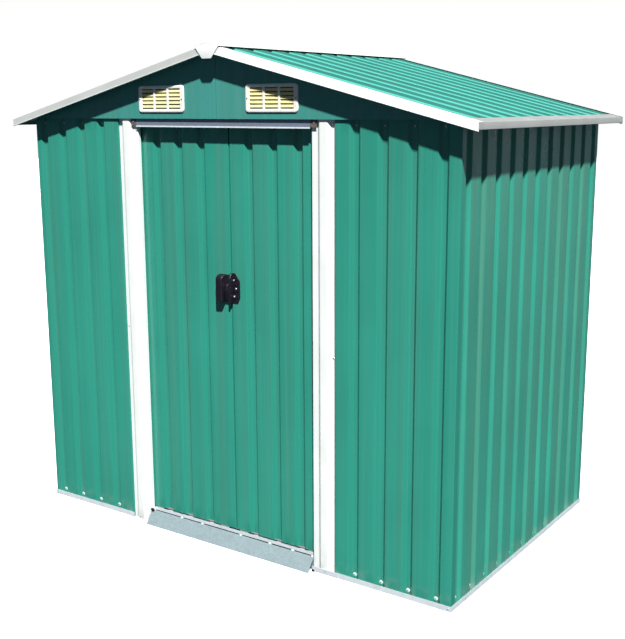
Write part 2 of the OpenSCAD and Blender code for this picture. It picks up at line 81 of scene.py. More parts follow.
WALL_LOW, WALL_HIGH = box("wall_front_left", "wall_front_right", "wall_left", "wall_right", "wall_back")
FRONT = WALL_LOW[1]
WALL_TOP = WALL_HIGH[2]
SHEET = 0.8 * MM
GROOVE = np.ptp(corners("wall_left")[:, 0]) - SHEET


def roof_slope():
    """Slope of the roof and the height of its trims over the ridge line, from a rake trim's top edge."""
    points = corners("rake_trim_front_right")
    inner = points[near(points[:, 0], points[:, 0].min())]
    outer = points[near(points[:, 0], points[:, 0].max())]
    run = outer[0, 0] - inner[0, 0]
    fall = (inner[:, 2].max() - outer[:, 2].max()) / run
    return fall, inner[:, 2].max() + fall * inner[0, 0]


FALL, TRIM_TOP = roof_slope()
PITCH = math.atan(FALL)


# ---- Lines ----

def unit(vectors):
    return vectors / np.linalg.norm(vectors, axis=-1, keepdims=True)


def bend_line(points, radius, steps=5):
    """An open line with bent corners. Round a corner c, whose sides run in along u and out along v, it is
    (1-t)^2 (c - r u) + 2t(1-t) c + t^2 (c + r v) for t from 0 to 1, with r at most 0.45 of a side."""
    points = np.asarray(points, float)
    side = np.diff(points, axis=0)
    length = np.linalg.norm(side, axis=1)
    way = side / length[:, None]
    reach = np.minimum(radius, 0.45 * np.minimum(length[:-1], length[1:]))[:, None]
    middle = points[1:-1]
    start = (middle - reach * way[:-1])[:, None]
    end = (middle + reach * way[1:])[:, None]
    t = np.linspace(0, 1, steps)[None, :, None]
    arcs = (1 - t) ** 2 * start + 2 * t * (1 - t) * middle[:, None] + t**2 * end
    return np.concatenate([points[:1], arcs.reshape(-1, points.shape[1]), points[-1:]])


def bent_line(points, radius, step):
    """An open line with bent corners, with points no further apart than the step."""
    return divide(bend_line(points, radius), step)


def bend_ring(points, radius, steps=5):
    """The same for a closed outline: its first and last corners are bent too."""
    points = np.asarray(points, float)
    return bend_line(np.concatenate([points[-1:], points, points[:1]]), radius, steps)[1:-1]


def divide(line, step):
    """The line with points added along it, so that neighbours are no further apart than the step."""
    length = np.linalg.norm(np.diff(line, axis=0), axis=1)
    parts = np.maximum(1, np.ceil(length / step)).astype(int)
    side = np.repeat(np.arange(len(parts)), parts)
    first = np.repeat(np.cumsum(parts) - parts, parts)
    share = ((np.arange(len(side)) - first) / parts[side])[:, None]
    return np.concatenate([line[side] * (1 - share) + line[side + 1] * share, line[-1:]])


def line_normals(line, closed=False):
    """At each point, the mean of its two sides' left-hand normals over the cosine of half the turn."""
    line = np.concatenate([line[-1:], line, line[:1]]) if closed else line
    way = unit(np.diff(line, axis=0))
    left = np.stack([-way[:, 1], way[:, 0]], 1)
    before = left[:-1] if closed else np.concatenate([left[:1], left])
    after = left[1:] if closed else np.concatenate([left, left[-1:]])
    mean = unit(before + after)
    return mean / np.sum(mean * after, axis=1, keepdims=True)


# ---- Surfaces. A skin is a grid of points and its faces; axes are an origin and three directions ----

def put(local, axes):
    """origin + a A + b B + c C, for local points (a, b, c)."""
    return axes[0] + local @ axes[1:]


def axes_of(origin, a, b, c):
    return np.array([origin, a, b, c], float)


def outward(points, faces):
    """Turns a closed skin's faces over if its volume, a sixth of the sum of p0 . (p1 x p2), is below 0."""
    middle = points.mean(0)
    volume = 0.0
    for corner in faces:
        p = points[corner] - middle
        turn = np.cross(p[:, 1:-1], p[:, 2:])
        volume += np.sum(p[:, :1] * turn)
    return points, [corner[:, ::-1] if volume < 0 else corner for corner in faces]


def grid_faces(rows, columns, wrap_rows=False):
    """Four-sided faces between neighbouring rows of a grid of points, whose columns run right round."""
    row = np.arange(rows if wrap_rows else rows - 1)[:, None]
    column = np.arange(columns)[None, :]
    next_row = (row + 1) % rows
    next_column = (column + 1) % columns
    return np.stack(np.broadcast_arrays(
        row * columns + column, row * columns + next_column,
        next_row * columns + next_column, next_row * columns + column,
    ), -1).reshape(-1, 4)


def folded(line, thick, places, axes, wave=None):
    """Thin sheet: an open line (a, b) and its offset by the thickness make a flat ring, which is carried to
    each place c. wave(a, c) is added to b, for both faces alike."""
    line = np.asarray(line, float)
    back = line + thick * line_normals(line)
    ring = np.concatenate([line, back[::-1]])
    along = np.concatenate([line[:, 0], line[::-1, 0]])
    places = np.asarray(places, float)
    count, n = len(ring), len(line)
    local = np.empty((len(places), count, 3))
    local[..., :2] = ring
    local[..., 2] = places[:, None]
    if wave is not None:
        local[..., 1] += wave(along[None, :], places[:, None])
    i = np.arange(n - 1)
    cap = np.stack([i, i + 1, count - 2 - i, count - 1 - i], 1)
    last = (len(places) - 1) * count
    faces = [np.concatenate([grid_faces(len(places), count), cap[:, ::-1], cap + last])]
    return outward(put(local.reshape(-1, 3), axes), faces)


def stacked(outline, insets, heights, axes, hollow=False):
    """Solid: the closed outline (a, b), moved inwards by each inset, stands at each height c. The first and
    last outlines are closed with a face, or, on a hollow ring, joined with each other."""
    outline = np.asarray(outline, float)
    area = np.sum(outline[:, 0] * np.roll(outline[:, 1], -1) - outline[:, 1] * np.roll(outline[:, 0], -1))
    inward = line_normals(outline, closed=True) * np.sign(area)
    insets = np.asarray(insets, float)
    heights = np.asarray(heights, float)
    n = len(outline)
    local = np.empty((len(insets), n, 3))
    local[..., :2] = outline + insets[:, None, None] * inward
    local[..., 2] = heights[:, None]
    faces = [grid_faces(len(insets), n, wrap_rows=hollow)]
    if not hollow:
        cap = np.arange(n)[None, :]
        faces += [cap[:, ::-1], cap + (len(insets) - 1) * n]
    return outward(put(local.reshape(-1, 3), axes), faces)


def plate(outline, low, high, bevel, axes, steps=4):
    """An outline between two heights whose edges are quarter circles: the inset is r(1 - sin t) and the
    height r(1 - cos t) from either face."""
    t = np.linspace(0, math.pi / 2, steps)
    inset = bevel * (1 - np.sin(t))
    rise = bevel * (1 - np.cos(t))
    heights = np.concatenate([low + rise, (high - rise)[::-1]])
    return stacked(outline, np.concatenate([inset, inset[::-1]]), heights, axes)


def moulding(outline, bend, steps, low, high, bevel, axes):
    """A plate whose outline's corners are bent. All lengths are in millimetres."""
    ring = bend_ring(np.array(outline, float) * MM, bend * MM, steps)
    return plate(ring, low * MM, high * MM, bevel * MM, axes)


def turned(profile, places, ways, sides):
    """Round heads: place + h way + r (cos t u + sin t v), for a profile of radii r and heights h, where u
    and v stand square to the way."""
    radius, height = np.asarray(profile, float).T
    places = np.asarray(places, float)
    way = unit(np.broadcast_to(np.asarray(ways, float), places.shape))
    helper = np.where(np.abs(way[:, 2:]) > 0.9, X, Z)
    u = unit(np.cross(helper, way))
    v = np.cross(way, u)
    t = np.arange(sides) * 2 * math.pi / sides
    ring = np.cos(t)[None, :, None] * u[:, None] + np.sin(t)[None, :, None] * v[:, None]
    points = (
        places[:, None, None]
        + height[None, :, None, None] * way[:, None, None]
        + radius[None, :, None, None] * ring[:, None]
    )
    rows = len(radius)
    one = grid_faces(rows, sides)
    start = (np.arange(len(places)) * rows * sides)[:, None, None]
    cap = np.arange(sides)[None, :]
    ends = np.concatenate([cap[:, ::-1], cap + (rows - 1) * sides])
    faces = [(one[None] + start).reshape(-1, 4), (ends[None] + start).reshape(-1, sides)]
    one_head = points[0].reshape(-1, 3)
    kept = outward(one_head, [one, ends])[1][0]
    if not np.array_equal(kept, one):
        faces = [face[:, ::-1] for face in faces]
    return points.reshape(-1, 3), faces


def build(name, skins, finish, replaced=(), body="shed", crease=35):
    """Joins skins into one mesh object, smooth but for edges sharper than the crease in degrees, riding on
    a CAD body."""
    counts = np.array([len(points) for points, _ in skins])
    starts = np.cumsum(counts) - counts
    points = np.concatenate([points for points, _ in skins])
    rings = [face + start for (_, faces), start in zip(skins, starts) for face in faces]
    sizes = np.concatenate([np.full(len(ring), ring.shape[1]) for ring in rings])
    mesh = bpy.data.meshes.new(name)
    mesh.vertices.add(len(points))
    mesh.vertices.foreach_set("co", points.astype(np.float32).reshape(-1))
    mesh.loops.add(int(sizes.sum()))
    loops = np.concatenate([ring.reshape(-1) for ring in rings])
    mesh.loops.foreach_set("vertex_index", loops.astype(np.int32))
    mesh.polygons.add(len(sizes))
    mesh.polygons.foreach_set("loop_start", (np.cumsum(sizes) - sizes).astype(np.int32))
    mesh.update(calc_edges=True)
    if mesh.validate():
        raise RuntimeError(f"{name} has a face that cannot be drawn")
    mesh.shade_smooth()
    mesh.set_sharp_from_angle(angle=math.radians(crease))
    mesh.materials.append(bpy.data.materials[finish])
    piece = bpy.data.objects.new(name, mesh)
    bpy.context.scene.collection.objects.link(piece)
    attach(piece, body)
    if replaced:
        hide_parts(*replaced)
    return piece


# ---- Settings ----

def colour(name, description, default):
    return FloatVectorProperty(
        name=name, description=description, default=default, subtype="COLOR", min=0, max=1
    )


def size(name, description, default, most):
    return FloatProperty(
        name=name, description=description, default=default, min=0, max=most,
        subtype="DISTANCE", unit="LENGTH",
    )


def amount(name, description, default, most):
    return FloatProperty(name=name, description=description, default=default, min=0, max=most)


def number(name, description, default, least, most):
    return IntProperty(name=name, description=description, default=default, min=least, max=most)


class ShedFinish(bpy.types.PropertyGroup):
    wall_green: colour("Wall green", "Paint of the walls, gables and door leaves", (0.025, 0.270, 0.200))
    # A darker copy of the wall green: painted shade that holds down the key light on the roof
    roof_green_painted_shade: colour("Roof green", "Paint of the roof sheets", (0.022, 0.190, 0.152))
    trim_white: colour("Trim white", "Paint of the trims and jambs", (0.83, 0.86, 0.84))
    zinc_grey: colour("Zinc grey", "Galvanised rails and channels", (0.50, 0.55, 0.58))
    louvre_white: colour("Louvre white", "Moulded frames of the vents", (0.84, 0.83, 0.78))
    louvre_cream: colour("Louvre cream", "Blades of the vents", (0.72, 0.64, 0.32))
    handle_black: colour("Handle black", "Moulded handles", (0.010, 0.008, 0.014))
    nylon: colour("Nylon", "Runners and glides of the leaves", (0.28, 0.30, 0.29))


class ShedSheets(bpy.types.PropertyGroup):
    bend: size("Bend", "Reach of a bend along the sheet on either side of its corner", 3.0 * MM, 0.01)
    ripple: size("Ripple", "How far the flats of the ribbed sheets stray from a plane", 0.25 * MM, 0.002)
    rows: number("Rows", "Grid rows along a sheet's grooves", 28, 2, 120)


class ShedScrews(bpy.types.PropertyGroup):
    radius: size("Radius", "Radius of a screw's head", 4.2 * MM, 0.01)
    rise: size("Rise", "Height of a screw's head", 2.4 * MM, 0.01)
    sides: number("Sides", "Sides of a screw's head", 10, 6, 16)


class ShedStage(bpy.types.PropertyGroup):
    sun: amount("Key light", "Strength of the key light", 8.1, 20)
    fill: amount("Fill", "Strength of the light from all round", 0.10, 2)
    panel: amount("Rear panels", "Power of each rear panel, in watts", 150, 1000)
    sheen: amount("Sheen panel", "Power of the panel that only glosses the side wall, in watts", 10, 1000)
    floor: colour("Floor", "Plain floor under the shed", (0.80, 0.80, 0.80))
    bounce: colour("Bounce", "Colour of the floor as it lights the shed from below", (0.034, 0.046, 0.062))


# ---- Finishes ----

def shade(value, by):
    return tuple(min(1.0, part * by) for part in value)


def tint(value, by):
    return tuple(part * factor for part, factor in zip(value, by))


class Finish:
    """A node material with a Principled shader, whose textures follow Object coordinates in metres."""

    def __init__(self, name):
        self.material = bpy.data.materials.new(name)
        self.material.use_nodes = True
        self.nodes = self.material.node_tree.nodes
        self.links = self.material.node_tree.links
        self.shader = self.nodes["Principled BSDF"]
        self.place = self.node("TexCoord", {}, "Object")

    def give(self, made, inputs):
        """Sets a node's inputs, each to a value or to another node's output."""
        for key, value in inputs.items():
            socket = made.inputs[key]
            if isinstance(value, bpy.types.NodeSocket):
                self.links.new(value, socket)
            else:
                socket.default_value = (*value, 1) if socket.type == "RGBA" else value

    def node(self, kind, inputs, output, **settings):
        """Adds a node with its settings and inputs. Returns one of its outputs."""
        made = self.nodes.new("ShaderNode" + kind)
        for key, value in settings.items():
            setattr(made, key, value)
        self.give(made, inputs)
        return made.outputs[output]

    def noise(self, scale, detail, rough=0.5, stretch=(1, 1, 1)):
        """Noise from 0 to 1, finer along each axis by its stretch."""
        place = self.node("Mapping", {"Vector": self.place, "Scale": stretch}, "Vector")
        inputs = {"Vector": place, "Scale": scale, "Detail": detail, "Roughness": rough}
        return self.node("TexNoise", inputs, "Fac")

    def ramp(self, source, stops):
        """Colours along a factor: stops are (position, linear colour)."""
        made = self.nodes.new("ShaderNodeValToRGB")
        elements = made.color_ramp.elements
        while len(elements) < len(stops):
            elements.new(0.5)
        for element, (position, value) in zip(elements, stops):
            element.position = position
            element.color = (*value, 1)
        self.give(made, {"Fac": source})
        return made.outputs["Color"]

    def drift(self, source, value, dark, light, start=0.3):
        """A colour that shifts from a darker to a lighter shade of itself with a factor."""
        return self.ramp(source, [(start, shade(value, dark)), (1 - start, shade(value, light))])

    def spread(self, source, low, high, start=0.3, end=0.7):
        """A factor between start and end, spread from low to high."""
        inputs = {"Value": source, "From Min": start, "From Max": end, "To Min": low, "To Max": high}
        return self.node("MapRange", inputs, "Result")

    def mixed(self, share, first, second):
        """First colour where the share is 0, second where it is 1."""
        return self.node("Mix", {"Factor": share, "A": first, "B": second}, "Result", data_type="RGBA")

    def dusted(self, value, top, dust):
        """A colour under dust, whose share falls from the ground to a height and is broken up by noise."""
        height = self.node("SeparateXYZ", {"Vector": self.place}, "Z")
        low = self.spread(height, 1.0, 0.0, 0.0, top)
        patches = self.spread(self.noise(26, 4), 0.0, 0.55, 0.4, 0.7)
        share = self.node("Math", {0: low, 1: patches}, "Value", operation="MULTIPLY")
        return self.mixed(share, value, dust)

    def surface(self, inputs, relief, strength, distance):
        """Sets the shader's inputs, and bumps its surface by a factor."""
        bump = {"Height": relief, "Strength": strength, "Distance": distance}
        self.give(self.shader, {**inputs, "Normal": self.node("Bump", bump, "Normal")})


def painted_steel(name, paint, rough, run, edge=None, coat=0.15, streak_and_sheen=0.45):
    """Gloss paint on steel: slow shifts of shade, faint streaks along the grooves, fine orange peel. On the
    side walls the broad streaks are stronger, a painted sheen. Where the mesh's own attribute "fold" is 1
    an edge
    colour shows: on the roof a painted highlight on the groove slopes, on the front walls and leaves
    painted shade on the slopes that face the key light."""
    made = Finish(name)
    look = made.drift(made.noise(2.6, 3), paint, 0.92, 1.08)
    red, green, blue = paint
    broad = ((0.6, 26, 3), (streak_and_sheen, 0.42, 0.68), (red + 0.04, 0.80 * green, 0.80 * blue))
    fine = ((0.9, 110, 2), (0.30, 0.45, 0.75), (red + 0.05, 1.22 * green, 1.25 * blue))
    for (along, across, detail), levels, streak in (broad, fine):
        stretch = tuple(along if axis == run else across for axis in range(3))
        share = made.spread(made.noise(1.0, detail, 0.6, stretch), 0.0, *levels)
        look = made.mixed(share, look, streak)
    look = made.dusted(look, 0.07, (0.30, 0.33, 0.29))
    # Edge colour: a painted highlight on the roof's groove slopes, painted shade on the front's sun-facing
    # slopes
    if edge:
        look = made.mixed(made.node("Attribute", {}, "Fac", attribute_name="fold"), look, edge)
    made.surface({
        "Base Color": look,
        "Roughness": made.spread(made.noise(9, 4), rough - 0.05, rough + 0.07),
        "Coat Weight": coat,
        "Coat Roughness": 0.16,
    }, made.noise(420, 2), 0.25, 0.0004)


def white_paint(name, paint):
    """Semi-gloss paint with faint grey handling marks and dust at the foot."""
    made = Finish(name)
    look = made.drift(made.noise(7, 4), paint, 0.95, 1.03, 0.35)
    mark = made.spread(made.noise(42, 5, 0.7, (1, 1, 0.3)), 0.0, 0.22, 0.58, 0.75)
    look = made.mixed(mark, look, shade(paint, 0.74))
    made.surface({
        "Base Color": made.dusted(look, 0.10, (0.42, 0.40, 0.36)),
        "Roughness": made.spread(made.noise(14, 3), 0.30, 0.44),
        "Coat Weight": 0.2,
        "Coat Roughness": 0.2,
    }, made.noise(380, 2), 0.2, 0.0004)


def zinc_coat(name, grey, spangle, rough, metal, contrast):
    """Hot-dipped zinc: crystals of slightly different shade and gloss, with cloudy paler patches."""
    made = Finish(name)
    cells = made.node("TexVoronoi", {"Vector": made.place, "Scale": spangle}, "Color")
    split = made.nodes.new("ShaderNodeSeparateColor")
    made.give(split, {"Color": cells})
    stops = [(0.0, shade(grey, 1 - contrast)), (0.5, grey), (1.0, shade(grey, 1 + contrast))]
    crystal = made.ramp(split.outputs["Red"], stops)
    cloud = made.spread(made.noise(16, 5, 0.6, (0.35, 1, 1)), 0.0, 2.2 * contrast, 0.45, 0.72)
    made.surface({
        "Base Color": made.mixed(cloud, crystal, shade(grey, 1.35)),
        "Roughness": made.spread(split.outputs["Green"], rough - 0.1, rough + 0.1, 0, 1),
        "Metallic": metal,
    }, split.outputs["Blue"], 0.12, 0.0003)


def moulded(name, value, rough, grain, depth):
    """Moulded plastic: a faint shift of shade and a fine moulded grain."""
    made = Finish(name)
    made.surface({
        "Base Color": made.drift(made.noise(30, 3), value, 0.93, 1.07),
        "Roughness": made.spread(made.noise(60, 3), rough - 0.06, rough + 0.08),
    }, made.noise(grain, 2), 0.3, depth)


# Pale mint of the roof's groove slopes: a painted highlight where the key light glints
ROOF_FOLD_HIGHLIGHT = (0.07, 0.36, 0.31)
RAMP_ZINC = (0.235, 0.305, 0.33)
# Darker, bluer zinc of the header's web and flange: painted shade
HEADER_WEB_SHADE = (0.24, 0.285, 0.37)
# Near-black brown zinc of the header's short ends: painted shade
HEADER_END_SHADE = (0.14, 0.115, 0.10)
# Pale mint washers at the groove feet, which also stand in for sunlight reflected off the rails: partly
# painted reflection
WASHER_MINT_AND_REFLECTION = (0.60, 0.80, 0.74)


def both_sides(*stems):
    """The left and the right node of each stem."""
    return tuple(f"{stem}_{side}" for stem in stems for side in SIDES.values())


VENTS = both_sides("vent_front", "vent_back")
NODE_FINISHES = {
    "front_paint_and_slope_shade": ("green_sheet", both_sides("wall_front", "door_leaf")),
    "side_paint_and_sheen": ("green_sheet", both_sides("wall")),
    "back_paint": ("green_sheet", ("wall_back",)),
    "gable_paint_and_sky_reflection": ("green_sheet", both_sides("gable_front", "gable_back")),
    "roof_paint_and_painted_light": ("green_sheet", both_sides("roof_panel")),
    "trim_paint": ("white_trim", (
        "ridge_cap", *both_sides("eave_trim", "rake_trim_front", "rake_trim_back", "door_jamb"),
    )),
    "rail_zinc": ("galvanised", (
        "floor_rail_back", "door_guide", *both_sides("floor_rail", "floor_rail_front"),
    )),
    "frame_zinc": ("galvanised", (
        "corner_posts", "top_rails", "mid_rails", "roof_beams", "door_track", *both_sides("leaf_braces"),
    )),
    "header_web_painted_shade": ("galvanised", ("door_header",)),
    "ramp_zinc": ("galvanised", ("door_ramp",)),
    "louvre_frame": ("vent_plastic", VENTS),
    "runner_nylon": ("nylon", both_sides("leaf_runners")),
    "handle_plastic": ("black_plastic", both_sides("door_handle")),
}


class SHED_OT_finishes(bpy.types.Operator):
    """Makes the finishes and gives each CAD node its own"""

    bl_idname = "shed.finishes"
    bl_label = "Finishes"

    def execute(self, context):
        finish = context.scene.shed_finish
        green = finish.wall_green
        # Front walls and leaves: the slopes that face the key light are painted darker, painted shade
        painted_steel("front_paint_and_slope_shade", green, 0.30, 2, shade(green, 0.82))
        # Side walls: the green tinted and the broad streaks made stronger, a painted sheen of reflections
        painted_steel("side_paint_and_sheen", tint(green, (1.1, 0.97, 0.96)), 0.30, 2, streak_and_sheen=0.8)
        painted_steel("back_paint", green, 0.30, 2)
        # Gables: the green tinted bluer and paler, a painted reflection of the sky
        painted_steel("gable_paint_and_sky_reflection", tint(green, (1.8, 1.0, 1.17)), 0.30, 2)
        # Roof: a darker green as painted shade, and a painted highlight on the groove slopes
        painted_steel("roof_paint_and_painted_light", finish.roof_green_painted_shade, 0.36, 0, ROOF_FOLD_HIGHLIGHT, 0)
        white_paint("trim_paint", finish.trim_white)
        # Eave trims: the white darkened, painted shade of the fascia
        white_paint("eave_white_painted_shade", shade(finish.trim_white, 0.46))
        # Left rake trims: the white darkened, painted shade
        white_paint("left_rake_white_painted_shade", shade(finish.trim_white, 0.60))
        zinc_coat("rail_zinc", shade(finish.zinc_grey, 1.22), 70, 0.5, 0.12, 0.06)
        zinc_coat("frame_zinc", finish.zinc_grey, 70, 0.42, 0.45, 0.2)
        zinc_coat("ramp_zinc", RAMP_ZINC, 130, 0.5, 0.25, 0.08)
        # Header web and flange: zinc darkened and blued, painted shade
        zinc_coat("header_web_painted_shade", HEADER_WEB_SHADE, 110, 0.4, 0.4, 0.05)
        # Header ends: near-black brown zinc, painted shade
        zinc_coat("header_end_painted_shade", HEADER_END_SHADE, 90, 0.6, 0.2, 0.2)
        zinc_coat("screw_zinc", shade(finish.zinc_grey, 0.9), 300, 0.38, 0.45, 0.2)
        moulded("louvre_frame", finish.louvre_white, 0.42, 900, 0.0002)
        moulded("louvre_blade", finish.louvre_cream, 0.42, 900, 0.0002)
        moulded("runner_nylon", finish.nylon, 0.5, 700, 0.0002)
        # Washers: pale mint, partly a painted reflection
        moulded("washer_rubber_and_reflection", WASHER_MINT_AND_REFLECTION, 0.5, 700, 0.0002)
        moulded("handle_plastic", finish.handle_black, 0.36, 1100, 0.0003)
        for name, (slot_name, nodes) in NODE_FINISHES.items():
            for node in nodes:
                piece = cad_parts[node]
                piece.data.materials.clear()
                piece.data.materials.append(bpy.data.materials[name])
        return {"FINISHED"}


# ---- Ribbed sheets ----

def face_line(node, along, depth):
    """The line that a ribbed sheet's outer face follows, as (place along, depth), with its folded ends, and
    the depth of that face from the origin. Outer corners are at no depth or at the grooves' depth."""
    points = corners(node)
    a = points @ along
    d = points @ depth
    front = d.min()
    d = d - front
    outer = near(d, 0) | near(d, GROOVE)
    line = np.unique(np.stack([a, d], 1)[outer].round(5), axis=0)
    ends = []
    for edge in (a.min(), a.max()):
        fold = d[near(a, edge, MM)].max()
        ends.append([[edge, fold]] if fold > 2 * MM else [])
    parts = [part for part in (ends[0], line, ends[1]) if len(part)]
    return np.concatenate(parts), front


def groove_places(line):
    """Middles of the grooves: the mean of each pair of corners on a groove's floor."""
    floor = line[near(line[:, 1], GROOVE), 0]
    return floor.reshape(-1, 2).mean(1)


def ripple(height, seed, low, high, first, last):
    """Faint ripple of thin sheet: a sum of four sine terms, which fades to nothing at all edges."""
    phase = np.random.default_rng(seed).uniform(0, 2 * math.pi, 8)

    def wave(along, run):
        total = (
            np.sin(along * 41 + phase[0]) * np.sin(run * 5.3 + phase[1])
            + 0.7 * np.sin(along * 67 + phase[2]) * np.sin(run * 9.1 + phase[3])
            + 0.5 * np.sin(along * 13 + phase[4]) * np.sin(run * 15.7 + phase[5])
            + 0.4 * np.sin(along * 9 + run * 4 + phase[6])
        )
        fade = np.clip((run - first) / 0.08, 0, 1) * np.clip((last - run) / 0.08, 0, 1)
        fade = fade * np.clip((along - low) / 0.03, 0, 1) * np.clip((high - along) / 0.03, 0, 1)
        return height * total * fade

    return wave


# Lean of a groove's slope at which its edge colour, a painted highlight on the roof and painted shade on
# the front, is full
FULL_LEAN = math.radians(35)


def mark_folds(mesh, out, side=None):
    """Stores how far each point's normal n leans from the sheet's outward way o, for both faces alike:
    (1 - |n.o|) / (1 - cos 35 degrees), at most 1, and with a side only on the slopes that face it. It
    places the painted highlight and the painted shade of the groove slopes."""
    normals = np.empty(3 * len(mesh.vertices), np.float32)
    mesh.vertex_normals.foreach_get("vector", normals)
    lean = (1 - np.abs(normals.reshape(-1, 3) @ out)) / (1 - math.cos(FULL_LEAN))
    if side is not None:
        lean = lean * (normals.reshape(-1, 3) @ side > 0)
    fold = mesh.attributes.new("fold", "FLOAT", "POINT")
    fold.data.foreach_set("value", np.clip(lean, 0, 1).astype(np.float32))


def ribbed(node, body, finish, along, depth, run, seed, side=None):
    """A ribbed sheet: the outer line of its CAD node with every corner bent, carried along its grooves."""
    sheets = bpy.context.scene.shed_sheets
    line, front = face_line(node, along, depth)
    ends = corners(node) @ run
    places = np.linspace(ends.min(), ends.max(), sheets.rows + 1)
    wave = ripple(sheets.ripple, seed, line[:, 0].min(), line[:, 0].max(), places[0], places[-1])
    bent = bent_line(line, sheets.bend, 18 * MM)
    skin = folded(bent, SHEET, places, axes_of(front * depth, along, depth, run), wave)
    sheet = build(node + "_sheet", [skin], finish, [node], body)
    mark_folds(sheet.data, -depth, side)


# Ways down and into each roof sheet
ROOFS = {
    f"roof_panel_{name}": (
        np.array([side * math.cos(PITCH), 0, -math.sin(PITCH)]),
        np.array([-side * math.sin(PITCH), 0, -math.cos(PITCH)]),
    )
    for side, name in reversed(SIDES.items())
}
# Ways along and into each wall, and its finish
WALLS = {
    "wall_front_left": (X, Y, "front_paint_and_slope_shade"),
    "wall_front_right": (X, Y, "front_paint_and_slope_shade"),
    "wall_left": (Y, X, "side_paint_and_sheen"),
    "wall_right": (Y, -X, "side_paint_and_sheen"),
    "wall_back": (X, -Y, "back_paint"),
}
LEAVES = {"door_leaf_left": "left_door", "door_leaf_right": "right_door"}


class SHED_OT_walls(bpy.types.Operator):
    """Builds the five ribbed wall sheets with bent folds"""

    bl_idname = "shed.walls"
    bl_label = "Wall sheets"

    def execute(self, context):
        for seed, (node, (along, depth, finish)) in enumerate(WALLS.items()):
            ribbed(node, "shed", finish, along, depth, Z, seed, along)
        return {"FINISHED"}


class SHED_OT_roof(bpy.types.Operator):
    """Builds the two ribbed roof sheets"""

    bl_idname = "shed.roof"
    bl_label = "Roof sheets"

    def execute(self, context):
        for seed, (node, (run, depth)) in enumerate(ROOFS.items()):
            ribbed(node, "shed", "roof_paint_and_painted_light", Y, depth, run, 20 + seed)
        return {"FINISHED"}


class SHED_OT_leaves(bpy.types.Operator):
    """Builds the ribbed sheets of the two door leaves"""

    bl_idname = "shed.leaves"
    bl_label = "Door leaves"

    def execute(self, context):
        for seed, (node, body) in enumerate(LEAVES.items()):
            ribbed(node, body, "front_paint_and_slope_shade", X, Y, Z, 40 + seed, X)
        return {"FINISHED"}


# ---- Trims ----

def rim_line(points, radius, step=30):
    """A bent line whose points, bends and steps are given in millimetres."""
    return bent_line(np.asarray(points, float) * MM, radius * MM, step * MM)


def span(low, high, count=2):
    return np.linspace(low, high, count)


def rake_trim(side, end):
    """Rake trim: a line of (depth inwards, height over the slope) with a rolled hem at its foot, carried
    across in X while it falls with the roof. side is 1 on the right, end -1 at the front."""
    name = f"rake_trim_{ENDS[end]}_{SIDES[side]}"
    low, high = box(name)
    outer = (low if end < 0 else high)[1] - end * 2 * MM
    points = corners(name)
    ends = np.sort(np.abs(points[:, 0]))[[0, -1]]
    face = TRIM_TOP - FALL * ends[1] - points[near(np.abs(points[:, 0]), ends[1]), 2].min()
    top = (np.ptp(points[:, 1]) - 2 * MM) / MM
    foot = -face / MM
    lift = 0.6 if end < 0 else 3
    line = rim_line([
        (1.3, foot + 3.0), (1.3, foot), (-2, foot), (-2, foot + 3.2), (0, foot + 4.2), (0, 0), (top, lift)
    ], 0.9)
    axes = axes_of((0, outer, TRIM_TOP), (0, -end, 0), Z, (side, 0, -FALL))
    return name, folded(line, -SHEET if line[-1, 0] > 0 else SHEET, span(*ends, 24), axes)


def eave_trim(side):
    """Eave trim: lip, face and a flange up the slope in one line of (distance outwards, height), carried
    along Y. The flange stops short of the rake trims, and lengths of lip and face close the ends."""
    name = f"eave_trim_{SIDES[side]}"
    points = corners(name) * (side, 1, 1)
    low, high = extent(points)
    outer = high[0] / MM
    flange = points[near(points[:, 0], low[0])]
    stop = flange[:, 1].max()
    top = points[near(points[:, 0], high[0]), 2].max() / MM
    foot = low[2] / MM
    inner = outer - low[0] / MM
    axes = axes_of((0, 0, 0), (side, 0, 0), Z, Y)
    face = [(outer - 8, foot), (outer, foot), (outer, top)]
    whole = rim_line(face + [(outer - inner, top + inner * FALL)], 1.6)
    short = rim_line(face, 1.6)
    skins = [folded(whole, SHEET, span(-stop, stop, 30), axes)]
    skins += [folded(short, SHEET, span(*ends), axes) for ends in ((low[1], -stop), (stop, high[1]))]
    return name, skins


# How far the ridge cap's edges stand off the roof between its screws
CAP_LIFT = 6 * MM


def ridge_cap():
    """Corner points of the ridge cap, and the height of its lifted edges."""
    points = corners("ridge_cap")
    return points, points[near(points[:, 0], points[:, 0].max()), 2].max() + CAP_LIFT


class SHED_OT_trims(bpy.types.Operator):
    """Builds the rake and eave trims and the ridge cap"""

    bl_idname = "shed.trims"
    bl_label = "Roof trims"

    def execute(self, context):
        for side in SIDES:
            name, skins = eave_trim(side)
            # The eave trims take a darkened white: painted shade
            build(name + "_strip", skins, "eave_white_painted_shade", [name])
            for end in ENDS:
                name, skin = rake_trim(side, end)
                # The left rake trims take a darkened white: painted shade
                finish = "trim_paint" if side > 0 else "left_rake_white_painted_shade"
                build(name + "_strip", [skin], finish, [name])
        points, edge = ridge_cap()
        low, high = extent(points)
        half = high[0]
        peak = high[2]
        line = bent_line([
            (-half, edge - 1.6 * MM), (-half, edge), (0, peak), (half, edge), (half, edge - 1.6 * MM)
        ], 5 * MM, 12 * MM)
        axes = axes_of((0, 0, 0), X, Z, Y)
        skins = [folded(line, -SHEET, span(low[1], high[1], 40), axes)]
        foot = points[near(points[:, 2], low[2])]
        tab = foot[:, 0].max()
        outline = bend_ring([
            (-half, edge), (-tab, low[2]), (tab, low[2]), (half, edge), (0, peak + 0.1 * MM),
        ], 2.5 * MM)
        for end in (-1, 1):
            face = axes_of((0, end * high[1], 0), X, Z, (0, -end, 0))
            skins.append(plate(outline, 0, SHEET, 0.3 * MM, face))
        build("ridge_cap_strip", skins, "trim_paint", ["ridge_cap"])
        return {"FINISHED"}


